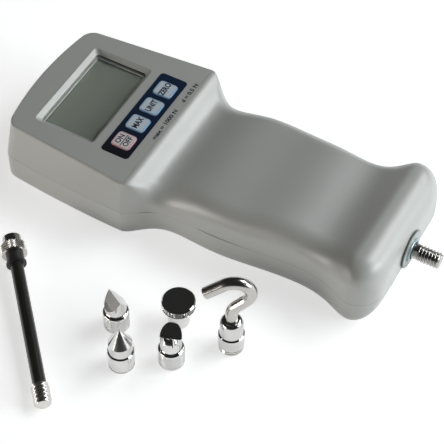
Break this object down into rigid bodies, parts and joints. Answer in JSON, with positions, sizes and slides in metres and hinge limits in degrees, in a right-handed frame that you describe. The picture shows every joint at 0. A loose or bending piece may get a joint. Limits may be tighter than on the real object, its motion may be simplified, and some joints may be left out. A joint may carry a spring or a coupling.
{
  "type": "force gauge",
  "caption": "Hand-held digital force gauge: display head, grip, sprung load stud and battery bay, with screw-on hook, chisel, cone, notch and flat tips and an extension rod.",
  "frame": {"origin": "centre of the housing's flat rear face, on which the gauge lies", "axes": "+X along the force axis, out of the load stud; +Z out of the display; the attachments stand on the -Y side"},
  "size_m": [0.209, 0.1871, 0.0479],
  "materials": {
    "housing": "fine-textured satin",
    "clear_window": "clear, glossy",
    "display_grey": "grey-green liquid crystal",
    "keypad_navy": "printed film, satin",
    "key_red": "translucent, satin",
    "key_blue": "translucent, satin",
    "black_plastic": "moulded",
    "white_plastic": "moulded",
    "circuit_board": "solder mask",
    "screw_steel": "zinc plated",
    "battery_jacket": "printed jacket, plain",
    "spring_steel": "nickel plated",
    "cell_aluminium": "milled",
    "bracket_aluminium": "milled",
    "dark_steel": "blackened",
    "polished_steel": "bright, polished",
    "black_rubber": "soft",
    "ribbon_grey": "flat cable",
    "blackened_steel": "black, satin"
  },
  "bodies": {
    "gauge": {"front_shell": "housing", "rear_shell": "housing", "display_window": "clear_window", "lcd_module": "display_grey", "keypad_overlay": "keypad_navy", "key_switches": "black_plastic", "main_board": "circuit_board", "board_chips": "black_plastic", "board_connector": "white_plastic", "board_screws": "screw_steel", "housing_screws": "screw_steel", "battery_1": "battery_jacket", "battery_2": "battery_jacket", "battery_3": "battery_jacket", "battery_4": "battery_jacket", "contact_springs": "spring_steel", "contact_plates": "spring_steel", "load_cell": "cell_aluminium", "anchor_bracket": "bracket_aluminium", "anchor_bolt": "dark_steel", "anchor_screws": "screw_steel", "dust_seal": "black_rubber", "signal_ribbon": "ribbon_grey"},
    "stud": {"load_stud": "polished_steel", "stud_nut": "screw_steel", "stud_flange": "polished_steel"},
    "on_off_key": {"key_on_off": "key_red"},
    "max_key": {"key_max": "key_blue"},
    "unit_key": {"key_unit": "key_blue"},
    "zero_key": {"key_zero": "key_blue"},
    "cover": {"battery_cover": "housing"},
    "chisel": {"chisel_tip": "polished_steel"},
    "cone": {"cone_tip": "polished_steel"},
    "notch": {"notch_tip": "polished_steel"},
    "disc": {"flat_disc": "polished_steel"},
    "hook": {"hook_base": "polished_steel", "hook_wire": "polished_steel"},
    "rod": {"extension_rod": "blackened_steel", "rod_collar": "polished_steel", "rod_coupling": "polished_steel"}
  },
  "joints": [
    {"name": "stud_give", "type": "slide", "parent": "gauge", "child": "stud", "axis": [1, 0, 0], "range_m": [-0.0002, 0.0002], "stiffness_N_per_m": 5000},
    {"name": "on_off_press", "type": "slide", "parent": "gauge", "child": "on_off_key", "axis": [0, 0, -1], "range_m": [0, 0.0004], "stiffness_N_per_m": 3000},
    {"name": "max_press", "type": "slide", "parent": "gauge", "child": "max_key", "axis": [0, 0, -1], "range_m": [0, 0.0004], "stiffness_N_per_m": 3000},
    {"name": "unit_press", "type": "slide", "parent": "gauge", "child": "unit_key", "axis": [0, 0, -1], "range_m": [0, 0.0004], "stiffness_N_per_m": 3000},
    {"name": "zero_press", "type": "slide", "parent": "gauge", "child": "zero_key", "axis": [0, 0, -1], "range_m": [0, 0.0004], "stiffness_N_per_m": 3000},
    {"name": "cover_off", "type": "slide", "parent": "gauge", "child": "cover", "axis": [0, 0, -1], "range_m": [0, 0.03]},
    {"name": "chisel_lift", "type": "slide", "parent": "gauge", "child": "chisel", "axis": [0, 0, 1], "range_m": [0, 0.04]},
    {"name": "cone_lift", "type": "slide", "parent": "gauge", "child": "cone", "axis": [0, 0, 1], "range_m": [0, 0.04]},
    {"name": "notch_lift", "type": "slide", "parent": "gauge", "child": "notch", "axis": [0, 0, 1], "range_m": [0, 0.04]},
    {"name": "disc_lift", "type": "slide", "parent": "gauge", "child": "disc", "axis": [0, 0, 1], "range_m": [0, 0.04]},
    {"name": "hook_lift", "type": "slide", "parent": "gauge", "child": "hook", "axis": [0, 0, 1], "range_m": [0, 0.04]},
    {"name": "rod_lift", "type": "slide", "parent": "gauge", "child": "rod", "axis": [0, 0, 1], "range_m": [0, 0.04]}
  ]
}
